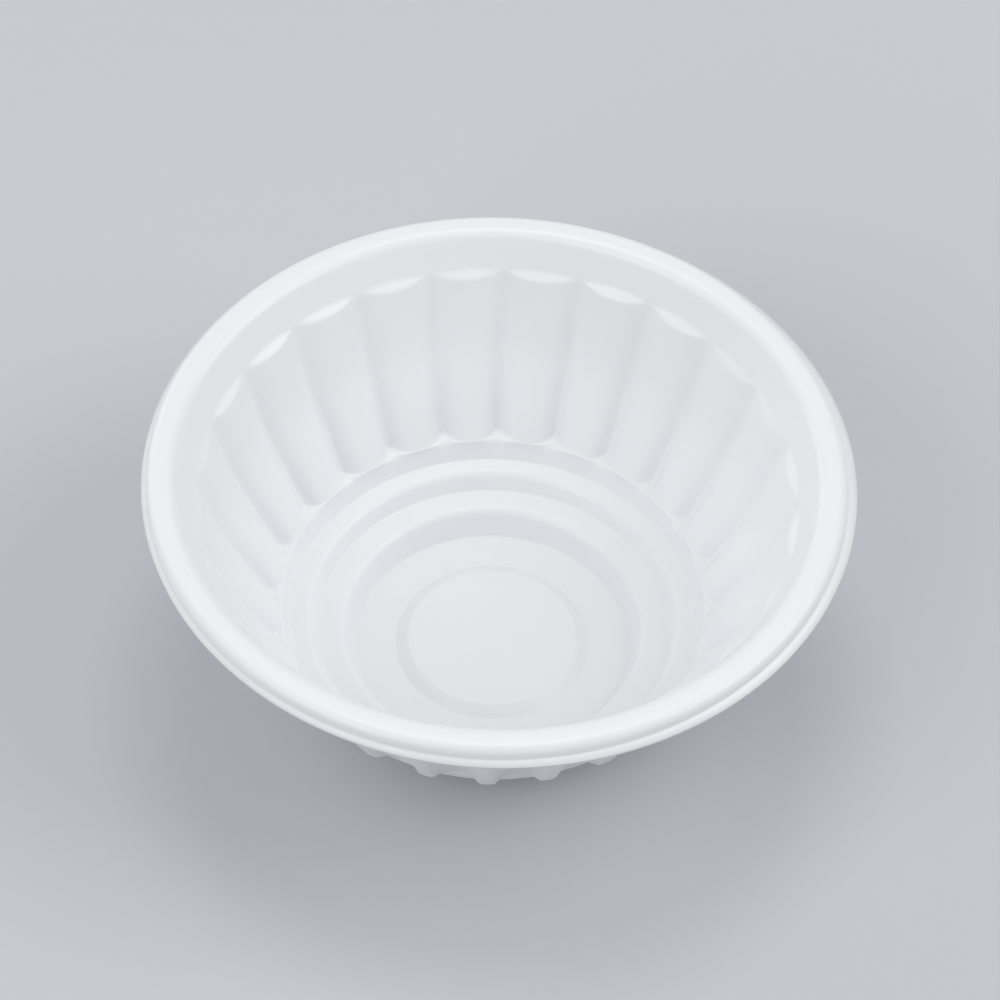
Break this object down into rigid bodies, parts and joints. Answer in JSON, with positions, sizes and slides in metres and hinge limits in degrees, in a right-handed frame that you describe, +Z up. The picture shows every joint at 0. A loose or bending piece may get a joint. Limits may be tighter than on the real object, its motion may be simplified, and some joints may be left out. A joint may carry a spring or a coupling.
{
  "type": "takeaway rice bowl",
  "caption": "Round white plastic takeaway bowl with a rounded rim, a fluted wall under lens-shaped ledges, a stepped base and a flat floor with a raised pad.",
  "frame": {"origin": "centre of the underside of the foot, on the axis of the bowl, in the plane that it stands on", "axes": "+Z up along the bowl's axis; +X towards the side where the trimmed flange is widest; ribs between flutes lie on X and Y"},
  "size_m": [0.18, 0.18, 0.0711],
  "materials": {
    "white_plastic": "semi-gloss white polypropylene sheet, smooth, slightly translucent"
  },
  "bodies": {
    "root": {"bowl": "white_plastic"}
  },
  "joints": []
}
